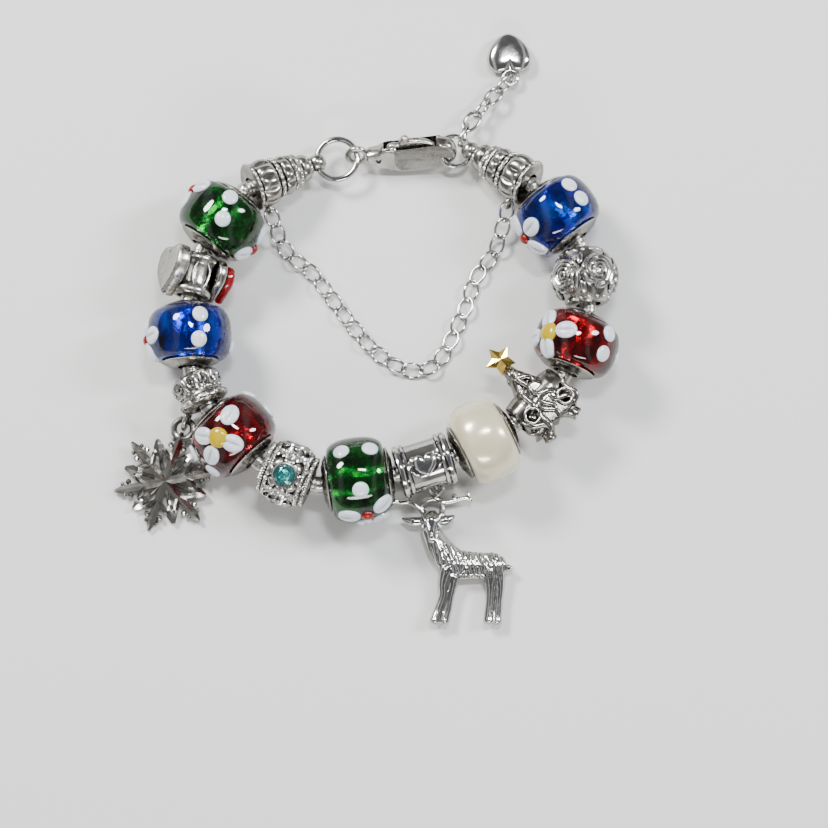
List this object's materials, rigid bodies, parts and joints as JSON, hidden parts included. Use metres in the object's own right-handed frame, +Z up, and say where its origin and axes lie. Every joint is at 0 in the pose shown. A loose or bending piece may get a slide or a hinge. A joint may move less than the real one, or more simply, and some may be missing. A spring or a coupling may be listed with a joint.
{
  "type": "charm bracelet",
  "caption": "Bracelet of glass, pearl and silver beads on a snake chain, with a lobster clasp, an extension chain, a safety chain and hanging snowflake and reindeer charms.",
  "frame": {"origin": "middle of the bracelet's footprint, on the table that it lies on", "axes": "+Z up from the table, +Y towards the extension chain and its heart, +X to the right of the picture"},
  "size_m": [0.0778, 0.0938, 0.0136],
  "materials": {
    "silver": "polished silver-tone plating",
    "aged_silver": "polished silver-tone metal with dark recesses",
    "satin_silver": "satin",
    "gold": "polished gold-tone plating",
    "green_glass": "clear deep green with raised opaque drops",
    "blue_glass": "clear royal blue with raised opaque drops",
    "red_glass": "clear deep red with raised opaque drops",
    "pearl": "creamy pearl lustre",
    "red_enamel": "glossy enamel",
    "teal_crystal": "faceted crystal"
  },
  "bodies": {
    "bracelet": {"core_chain": "satin_silver", "end_cap_left": "aged_silver", "end_cap_right": "aged_silver", "jump_ring": "silver", "end_ring": "silver", "clasp_body": "silver", "safety_chain": "silver", "extension_chain": "silver", "heart_drop": "silver", "green_bead_one": "green_glass", "green_bead_one_core": "silver", "blue_bead_one": "blue_glass", "blue_bead_one_core": "silver", "red_bead_one": "red_glass", "red_bead_one_core": "silver", "green_bead_two": "green_glass", "green_bead_two_core": "silver", "red_bead_two": "red_glass", "red_bead_two_core": "silver", "blue_bead_two": "blue_glass", "blue_bead_two_core": "silver", "pearl_bead": "pearl", "pearl_bead_core": "silver", "heart_bead": "satin_silver", "heart_enamel": "red_enamel", "ornate_bead": "aged_silver", "snowflake": "aged_silver", "tube_bead": "silver", "reindeer": "silver", "crystal_rose_bead": "aged_silver", "crystal_1": "teal_crystal", "crystal_2": "teal_crystal", "crystal_3": "teal_crystal", "crystal_4": "teal_crystal", "rose_ball_bead": "aged_silver", "tree_bead": "aged_silver", "tree_star": "gold"},
    "lever": {"clasp_lever": "silver"}
  },
  "joints": [
    {"name": "lever_hinge", "type": "hinge", "parent": "bracelet", "child": "lever", "pos_m": [0.00379, 0.02723, 0.00447], "axis": [0.0389, -0.8652, 0.5], "range_deg": [-20, 0], "stiffness_Nm_per_rad": 0.004, "springref_deg": 5.73}
  ]
}
